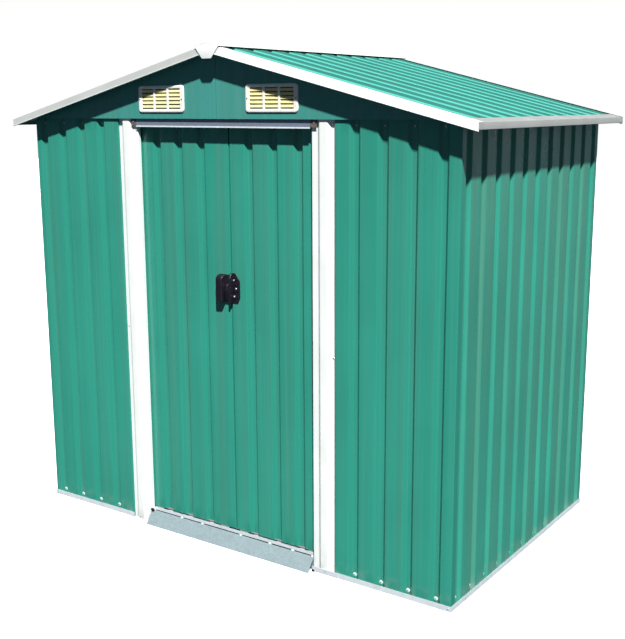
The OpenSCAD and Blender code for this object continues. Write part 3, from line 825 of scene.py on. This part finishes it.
# ---- Doorway ----

def jamb(side):
    """Jamb: a line of (distance out, depth) from the doorway's fold over the raised middle to the hem,
    carried up Z. Below the track a strip carries the fold further in."""
    name = f"door_jamb_{SIDES[side]}"
    points = corners(name) * (side, 1, 1)
    low, high = extent(points)
    hem = points[near(points[:, 0], high[0])]
    flat = hem[:, 1].min()
    rises = np.unique(points[near(points[:, 1], flat), 0].round(4))
    rise = 10 * MM
    top = points[near(points[:, 2], high[2])]
    fold = top[near(top[:, 0], low[0]), 1].max()
    under = np.unique(points[near(points[:, 1], high[1]), 2])
    line = bent_line([
        (low[0], fold), (low[0], flat), (rises[1], flat), (rises[1] + rise, low[1]),
        (rises[-2] - rise, low[1]), (rises[-2], flat), (high[0], flat),
    ], 3.5 * MM, 12 * MM)
    axes = axes_of((0, 0, 0), (side, 0, 0), Y, Z)
    skins = [folded(line, SHEET, span(low[2], high[2], 30), axes)]
    strip = [(low[0], high[1]), (low[0], fold - 0.2 * MM)]
    skins.append(folded(strip, SHEET, span(under.min(), under.max(), 12), axes))
    return name, skins


def header():
    """Header: a web and a top flange in one line of (depth, height), carried along X on both halves, with a
    bent lip under it and short ends. The web and flange take a darker, bluer zinc as painted shade, the lip
    the brighter rail zinc, and the ends a near-black brown as painted shade."""
    points = corners("door_header")
    low, high = extent(points)
    step = points[near(points[:, 1], low[1]), 2].max()
    ends = np.unique(points[:, 0].round(4))
    lip = FRONT - 2 * MM
    web = [(FRONT, step), (FRONT, high[2]), (high[1], high[2])]
    edge = bent_line([(lip, low[2]), (lip, step), (FRONT + SHEET / 2, step)], 1 * MM, 10 * MM)
    short = bent_line(web, 1.2 * MM, 10 * MM)
    axes = axes_of((0, 0, 0), Y, Z, X)
    halves = (ends[[1, 2]], ends[[3, 4]])
    skins = [folded(short, -SHEET, span(*half, 16), axes) for half in halves]
    # Web and flange in darker, bluer zinc: painted shade
    build("door_header_strip", skins, "header_web_painted_shade", ["door_header"])
    skins = [folded(edge, -SHEET, span(*half, 16), axes) for half in halves]
    build("door_header_lip", skins, "rail_zinc")
    # The short ends in near-black brown zinc: painted shade over the jambs' tops
    skins = [folded(short, -SHEET, span(*shaded_end), axes) for shaded_end in (ends[[0, 1]], ends[[4, 5]])]
    build("door_header_ends", skins, "header_end_painted_shade")


# Ends of the dark strips behind the ramp's upper edge, painted shade in the gap there, and the tabs between
# them
RAMP_SHADE_STRIPS = ((-375, -244), (-229, -138), (-123, 51), (65, 187), (203, 291), (307, 380))
RAMP_TABS = (-237, -131, 58, 195, 299, 386)


def ramp():
    """Ramp: a slope, an upper edge and a drop behind it in one line of (depth, height), carried along X,
    with a rubber end stop and foot, and dark strips of painted shade behind the upper edge."""
    low, high = box("door_ramp")
    line = bent_line([
        (low[1] + 1 * MM, low[2] + 1 * MM), (high[1] - 1 * MM, high[2]),
        (high[1], high[2]), (high[1], low[2]),
    ], 2.0 * MM, 8 * MM)
    wave = ripple(0.5 * MM, 60, low[1] - 1, high[1] + 1, low[0], high[0])
    axes = axes_of((0, 0, 0), Y, Z, X)
    skins = [folded(line, -1 * MM, span(low[0], high[0], 60), axes, wave)]
    build("door_ramp_plate", skins, "ramp_zinc", ["door_ramp"])
    stop = [(-9, -4), (5, -4), (7, 0), (5, 5), (-7, 6)]
    face = axes_of((low[0] + 9 * MM, high[1] - 4 * MM, high[2] + 3 * MM), X, Z, -Y)
    skins = [moulding(stop, 2, 5, 0, 7, 1.5, face)]
    back = axes_of((0, high[1] + 0.2 * MM, high[2] - 1 * MM), X, Z, Y)
    # Dark strips behind the upper edge: painted shade in the gap there
    for start, end in RAMP_SHADE_STRIPS:
        strip = [(start, 0), (end, 0), (end, 4.0), (start, 4.0)]
        skins.append(moulding(strip, 1, 3, 0, 1.6, 0.5, back))
    foot = [(0, 0), (11, 0), (8, 7), (0, 9)]
    corner = axes_of((high[0] + 1.5 * MM, FRONT - 3 * MM, 0), X, Z, -Y)
    skins.append(moulding(foot, 1.5, 5, 0, 5, 1, corner))
    build("ramp_rubber_and_shade_strips", skins, "handle_plastic")


def laps():
    """Laps: the floor rails' lip in (depth, height), carried along X under the jambs."""
    lip = rim_line([(12.0, 0.1), (-3.4, 0.1), (-3.4, 20.0)], 1.2, 8)
    ramp_end = box("door_ramp")[1][0]
    left_end = box("door_jamb_left")[0][0]
    right_end = box("door_jamb_right")[1][0]
    lap = 8 * MM
    spans = (
        (ramp_end + 1 * MM, right_end + lap),
        (left_end - lap, left_end + 14 * MM),
    )
    axes = axes_of((0, FRONT, 0), Y, Z, X)
    skins = [folded(lip, -SHEET, span(*ends, 5), axes) for ends in spans]
    build("floor_rail_laps", skins, "rail_zinc")


class SHED_OT_doorway(bpy.types.Operator):
    """Builds the jambs, the header, the ramp with its rubber parts and its strips of painted shade, and
    the laps of the floor rails
    """

    bl_idname = "shed.doorway"
    bl_label = "Doorway"

    def execute(self, context):
        for side in (-1, 1):
            name, skins = jamb(side)
            build(name + "_strip", skins, "trim_paint", [name])
        header()
        ramp()
        laps()
        return {"FINISHED"}


# ---- Vents ----

def louvre(node):
    """Vent: a rounded frame with a domed rim, two bars, and five blades that are bent, sloping strips."""
    low, high = box(node)
    middle = (low + high) / 2
    out = -1 if middle[1] < 0 else 1
    wall = high[1] if out < 0 else low[1]
    width, height, proud = high[0] - low[0], high[2] - low[2], 0.65 * (high[1] - low[1])
    rim, bar, side_rim = 12 * MM, 10 * MM, 18 * MM
    corner = np.array([(-1, -1), (1, -1), (1, 1), (-1, 1)]) * (width / 2, height / 2)
    outline = divide(bend_ring(corner, 14 * MM, 9), 12 * MM)
    face = axes_of((middle[0], wall, middle[2]), X, Z, (0, out, 0))
    insets = np.array([0, 0, 0.5, 1.6, 3.4, 8.4, 10.6, 11.6, 12.0, 12.0]) * MM
    heights = np.array([0, 3.4, 5.2, 6.4, 7.0, 7.0, 6.6, 5.6, 4.2, 0]) / 7 * proud
    rim_skins = [stacked(outline, insets, heights, face, hollow=True)]
    bay = (width - 2 * side_rim - 2 * bar) / 3
    upright = axes_of((middle[0], wall, middle[2]), X, (0, out, 0), Z)
    tall = height / 2 - rim + 1 * MM
    side = (side_rim - rim) + 1 * MM
    outer = width / 2 - rim + 1 * MM - side / 2
    centres = ((-outer, side), (-(bay + bar) / 2, bar), ((bay + bar) / 2, bar), (outer, side))
    for centre, wide in centres:
        section = np.array([(-1, 0), (1, 0), (1, 1), (-1, 1)]) * (wide / 2, proud - 0.6 * MM)
        ring = bend_ring(section + (centre, 0), 2.4 * MM)
        rim_skins.append(stacked(ring, [0, 0], [-tall, tall], upright))
    bay_high = height - 2 * rim
    pitch = bay_high / 5.3
    rise = 0.76 * pitch - 2 * MM
    front = proud - 1.2 * MM
    section = bend_ring([
        (front, 0.0), (front, 2.2 * MM), (front * 0.45, 0.6 * rise + 2.1 * MM), (1 * MM, rise + 2 * MM),
        (1 * MM, rise), (front * 0.45, 0.5 * rise),
    ], 0.9 * MM)
    cross = axes_of((middle[0], wall, middle[2]), (0, out, 0), Z, X)
    half = width / 2 - side_rim + 1 * MM
    levels = (np.arange(5) + 0.3) * pitch - bay_high / 2
    blades = [stacked(section + (0, level), [0, 0], [-half, half], cross) for level in levels]
    return rim_skins, blades


class SHED_OT_vents(bpy.types.Operator):
    """Builds the four moulded vents"""

    bl_idname = "shed.vents"
    bl_label = "Vents"

    def execute(self, context):
        for node in VENTS:
            rim_skins, blades = louvre(node)
            build(node + "_frame", rim_skins, "louvre_frame", [node])
            build(node + "_blades", blades, "louvre_blade")
        return {"FINISHED"}


# ---- Handles ----

def handle_axes(node):
    """A handle's size in millimetres, and axes at its lower corner on the leaf: face on, and side on."""
    low, high = box(node)
    corner = (low[0], high[1], low[2])
    return (high - low) / MM, axes_of(corner, X, Z, -Y), axes_of(corner, -Y, Z, X)


def left_handle():
    """A rounded plate, a deep grip with a sloping top and a low thumb rest."""
    (w, deep, h), face, side = handle_axes("door_handle_left")
    grip = [(1, 1), (deep - 4, 1), (deep, 6), (deep, h - 14), (deep - 8, h - 3), (1, h - 1)]
    rest = [(1, 3), (11, 6), (15, h * 0.45), (9, h * 0.62), (1, h * 0.7)]
    return [
        moulding([(0, 0), (w, 0), (w, h), (0, h)], 9, 6, 0, 3, 1.2, face),
        moulding(grip, 7, 6, 6, 35, 3.4, side),
        moulding(rest, 6, 5, 38, w - 1, 2, side),
    ]


def right_handle():
    """A plate with cut corners, an upright fin and four slanting ribs."""
    (w, deep, h), face, side = handle_axes("door_handle_right")
    outline = [(0, 0), (w - 10, 0), (w, 20), (w, h - 27), (w - 19, h), (0, h)]
    fin = [(1, 0), (deep - 2, 0), (deep, 2), (deep, h - 16), (deep - 12, h), (1, h)]
    made = [
        moulding(outline, 2.5, 4, 0, 3, 1.1, face),
        moulding(fin, 2.5, 5, 0, 7, 1.6, side),
    ]
    for at in (14, 38, 62, 80):
        rib = [(7, at), (w - 5, at + 7), (w - 5, at + 9.5), (7, at + 2.5)]
        made.append(moulding(rib, 0.8, 3, 2.5, 4.6, 0.6, face))
    return made


class SHED_OT_handles(bpy.types.Operator):
    """Builds the two moulded handles"""

    bl_idname = "shed.handles"
    bl_label = "Handles"

    def execute(self, context):
        for skins, side in ((left_handle(), "left"), (right_handle(), "right")):
            build(
                f"door_handle_{side}_grip", skins, "handle_plastic",
                ["door_handle_" + side], side + "_door", crease=50,
            )
        return {"FINISHED"}


# ---- Screws ----

def groove_screws(node, along, depth, run, levels):
    """Places and ways of screws in a ribbed sheet's groove floors, a row at each level along its run."""
    line, front = face_line(node, along, depth)
    spots = (
        groove_places(line)[None, :, None] * along
        + (front + GROOVE) * depth
        + np.array(levels)[:, None, None] * run
    ).reshape(-1, 3)
    return spots, np.broadcast_to(-depth, spots.shape)


def joined(rows):
    return [np.concatenate(part) for part in zip(*rows)]


def wall_screws():
    """A row at the floor rails and one at the top rails; the front's upper row stands higher."""
    rows = []
    for node, (along, depth, finish) in WALLS.items():
        drop = 18 * MM if finish == "front_paint_and_slope_shade" else 22 * MM
        rows.append(groove_screws(node, along, depth, Z, (28 * MM, WALL_TOP - drop)))
    return joined(rows)


def roof_screws():
    """Rows near the ridge and over the purlins."""
    rows = []
    for node, (run, depth) in ROOFS.items():
        reach = corners(node) @ run
        levels = (reach.min() + 90 * MM, reach.min() + 0.5 * np.ptp(reach) - 18 * MM)
        rows.append(groove_screws(node, Y, depth, run, levels))
    return joined(rows)


def vent_screws():
    """One halfway up either side rim of each vent."""
    places = []
    ways = []
    for node in VENTS:
        low, high = box(node)
        out = -1 if low[1] < 0 else 1
        face = (low[1] if out < 0 else high[1]) - out * 2.4 * MM
        for x in (low[0] + 8 * MM, high[0] - 8 * MM):
            places.append((x, face, (low[2] + high[2]) / 2))
            ways.append((0, out, 0))
    return places, ways


def ridge_screws():
    """Five along each edge of the ridge cap."""
    points, edge = ridge_cap()
    low, high = extent(points)
    inset, end = 10 * MM, 14 * MM
    places = [
        (side * (high[0] - inset), y, edge + inset * FALL)
        for side in (-1, 1) for y in (low[1] + end, -0.3, 0, 0.3, high[1] - end)
    ]
    return places, [(math.copysign(FALL, x), 0, 1) for x, _, _ in places]


def jamb_screws():
    """Two on each jamb's flat edge, one over the doorway's corner and one at the foot."""
    places = []
    for side, name in SIDES.items():
        inner, outer = np.sort(np.abs(np.array(box("door_jamb_" + name))[:, 0]))
        flat = FRONT + 8 * MM
        upper = WALL_TOP - 11 * MM
        places += [(side * (outer - 18 * MM), flat, z) for z in (WALL_TOP / 2, upper)]
        places.append((side * (inner + 14 * MM), FRONT, upper))
        places.append((side * (inner + 56 * MM), FRONT - 2 * MM, 12 * MM))
    return places


def rail_screws():
    """Three at each corner of the floor rails: either side of the joint, and one round the corner."""
    high = box("floor_rail_left", "floor_rail_right", "floor_rail_back")[1]
    joint = corners("floor_rail_left")[:, 1].max()
    places = []
    ways = []
    for x in (-1, 1):
        for y in (-1, 1):
            places += [(x * high[0], y * (joint + step), 10 * MM) for step in (-9 * MM, 10 * MM)]
            ways += [(x, 0, 0)] * 2
            places.append((x * (high[0] - 11 * MM), y * high[1], 10 * MM))
            ways.append((0, y, 0))
    return places, ways


# Places of the right handle's screws over its lower left corner
HANDLE_SCREWS = ((11, 83), (21, 53), (12.5, 24))


class SHED_OT_screws(bpy.types.Operator):
    """Builds the screws of the whole shed and the pale washers of the walls, which also stand in for a
    painted reflection of sunlight at the groove feet
    """

    bl_idname = "shed.screws"
    bl_label = "Screws"

    def execute(self, context):
        screw = context.scene.shed_screws
        r, h = screw.radius, screw.rise
        head = [(0.95 * r, -0.2 * h), (r, 0), (r, 0.35 * h), (0.78 * r, 0.8 * h), (0.3 * r, h)]

        def heads(name, places, ways, body="shed", scale=1.0, finish="screw_zinc"):
            skin = turned(np.array(head) * scale, places, ways, screw.sides)
            build(name, [skin], finish, body=body)

        places, ways = wall_screws()
        heads("wall_screws", places, ways)
        at_foot = places[:, 2] < 50 * MM
        # Pale washers at the foot: washers that also stand in for a painted reflection of sunlight off the
        # rails
        washer = np.array([(6.4, -0.2), (7.2, 0.1), (7.2, 0.9), (6.4, 1.3), (3.0, 1.5)]) * MM
        skins = [turned(washer, places[at_foot], ways[at_foot], screw.sides)]
        build("wall_washers_and_reflections", skins, "washer_rubber_and_reflection")
        heads("roof_screws", *roof_screws())
        heads("vent_screws", *vent_screws(), scale=0.8)
        heads("ridge_screws", *ridge_screws())
        heads("jamb_screws", jamb_screws(), -Y, scale=0.8)
        high = box("door_ramp")[1]
        tabs = [(x * MM, high[1], high[2] + 0.4 * MM) for x in RAMP_TABS]
        heads("ramp_screws", tabs, [(0, -0.83, 0.55)] * len(tabs), scale=0.9, finish="rail_zinc")
        low, high = box("door_handle_right")
        plates = [(low[0] + x * MM, high[1] - 3 * MM, low[2] + z * MM) for x, z in HANDLE_SCREWS]
        heads("handle_screws", plates, -Y, "right_door", 0.9)
        heads("rail_screws", *rail_screws(), scale=0.7)
        return {"FINISHED"}


# ---- Stage ----

def paper_floor(value, bounce):
    """Floor finish: what the camera sees is much paler than what lights the shed from below."""
    made = Finish("floor_paper")
    seen = made.node("LightPath", {}, "Is Camera Ray")
    made.give(made.shader, {
        "Base Color": made.mixed(seen, bounce, made.drift(made.noise(1.5, 2), value, 0.99, 1.0)),
        "Emission Color": made.mixed(seen, (0, 0, 0), shade(value, 0.5)),
        "Emission Strength": 1.0,
        "Roughness": 0.9,
        "Specular IOR Level": 0.1,
    })
    return made.material


# Camera: focal length, place and turns in degrees
LENS = 59.34
CAMERA_PLACE = (2.3576, -3.3863, 1.6314)
CAMERA_TURNS = ((34.925, "Z"), (78.231, "X"), (-0.266, "Z"))

# Lights: places, the size of the panels and the points that they shine at
KEY_PLACE = (0.9, -1.0, 1.78)
REAR_PLACES = {"rear_right": (2.4, 6.5, 2.6), "rear_left": (-5.5, 3.0, 2.6)}
REAR_AIM = (0, 0, 0.8)
SHEEN_PLACE = (5.5, 6.5, 1.5)
SHEEN_AIM = (0.9, 0, 0.8)
PANEL = {"shape": "RECTANGLE", "size": 4.0, "size_y": 3.0}


def lamp(name, kind, place, aim, energy, **values):
    """A light at a place that shines towards another. Returns its object."""
    light = bpy.data.lights.new(name, kind)
    light.energy = energy
    for key, value in values.items():
        setattr(light, key, value)
    made = bpy.data.objects.new(name, light)
    made.matrix_world = (Vector(aim) - Vector(place)).to_track_quat("-Z", "Y").to_matrix().to_4x4()
    made.location = place
    bpy.context.scene.collection.objects.link(made)
    return made


def surround(fill):
    """World that is plain white to the camera and gives a dim, slightly cool light to everything else."""
    world = bpy.data.worlds.new("surround")
    world.use_nodes = True
    nodes = world.node_tree.nodes
    links = world.node_tree.links
    seen = nodes.new("ShaderNodeBackground")
    seen.inputs["Color"].default_value = (1, 1, 1, 1)
    given = nodes["Background"]
    given.inputs["Color"].default_value = (0.50, 0.70, 1.0, 1)
    given.inputs["Strength"].default_value = fill
    mix = nodes.new("ShaderNodeMixShader")
    links.new(nodes.new("ShaderNodeLightPath").outputs["Is Camera Ray"], mix.inputs["Fac"])
    links.new(given.outputs["Background"], mix.inputs[1])
    links.new(seen.outputs["Background"], mix.inputs[2])
    links.new(mix.outputs["Shader"], nodes["World Output"].inputs["Surface"])
    return world


class SHED_OT_stage(bpy.types.Operator):
    """Sets up the plain floor, the soft lights and the camera"""

    bl_idname = "shed.stage"
    bl_label = "Stage"

    def execute(self, context):
        scene = context.scene
        stage = scene.shed_stage
        rings, sides = 40, 64
        radius = (30 * np.linspace(0, 1, rings) ** 2 + 0.5)[:, None]
        angle = np.arange(sides) * 2 * math.pi / sides
        points = np.stack([radius * np.cos(angle), radius * np.sin(angle), 0 * radius * angle], -1)
        faces = grid_faces(rings, sides)[:, ::-1].tolist() + [list(range(sides))]
        mesh = bpy.data.meshes.new("floor")
        mesh.from_pydata(points.reshape(-1, 3), [], faces)
        mesh.materials.append(paper_floor(stage.floor, stage.bounce))
        floor = bpy.data.objects.new("floor", mesh)
        scene.collection.objects.link(floor)
        key = {"angle": math.radians(2.2), "color": (1.0, 0.99, 0.96)}
        lamp("key", "SUN", KEY_PLACE, (0, 0, 0), stage.sun, **key)
        for name, place in REAR_PLACES.items():
            lamp(name, "AREA", place, REAR_AIM, stage.panel, **PANEL).visible_glossy = False
        lamp("sheen", "AREA", SHEEN_PLACE, SHEEN_AIM, stage.sheen, **PANEL).visible_diffuse = False
        scene.world = surround(stage.fill)
        scene.view_settings.view_transform = "Standard"
        lens = bpy.data.cameras.new("camera")
        lens.lens = LENS
        lens.sensor_width = 36
        lens.sensor_fit = "HORIZONTAL"
        camera = bpy.data.objects.new("camera", lens)
        camera.rotation_mode = "QUATERNION"
        turn = Matrix.Identity(3)
        for degrees, axis in CAMERA_TURNS:
            turn = turn @ Matrix.Rotation(math.radians(degrees), 3, axis)
        camera.rotation_quaternion = turn.to_quaternion()
        camera.location = CAMERA_PLACE
        scene.collection.objects.link(camera)
        scene.camera = camera
        return {"FINISHED"}


class SHED_PT_panel(bpy.types.Panel):
    """Lists the shed's operators and settings"""

    bl_idname = "SHED_PT_panel"
    bl_label = "Metal Storage Shed"
    bl_space_type = "VIEW_3D"
    bl_region_type = "UI"
    bl_category = "Shed"

    def draw(self, context):
        for operator in OPERATORS:
            self.layout.operator(operator.bl_idname)
        for key, group in GROUPS.items():
            for name in group.__annotations__:
                self.layout.prop(getattr(context.scene, key), name)


OPERATORS = (
    SHED_OT_finishes, SHED_OT_walls, SHED_OT_roof, SHED_OT_leaves, SHED_OT_trims,
    SHED_OT_doorway, SHED_OT_vents, SHED_OT_handles, SHED_OT_screws, SHED_OT_stage,
)
GROUPS = {
    "shed_finish": ShedFinish,
    "shed_sheets": ShedSheets,
    "shed_screws": ShedScrews,
    "shed_stage": ShedStage,
}


CLASSES = (*GROUPS.values(), *OPERATORS, SHED_PT_panel)


def register():
    for made in CLASSES:
        bpy.utils.register_class(made)
    for name, group in GROUPS.items():
        setattr(bpy.types.Scene, name, PointerProperty(type=group))


def unregister():
    for name in GROUPS:
        delattr(bpy.types.Scene, name)
    for made in reversed(CLASSES):
        bpy.utils.unregister_class(made)


def main():
    register()
    bpy.ops.shed.finishes()
    bpy.ops.shed.walls()
    bpy.ops.shed.roof()
    bpy.ops.shed.leaves()
    bpy.ops.shed.trims()
    bpy.ops.shed.doorway()
    bpy.ops.shed.vents()
    bpy.ops.shed.handles()
    bpy.ops.shed.screws()
    bpy.ops.shed.stage()


if __name__ == "__main__":
    main()
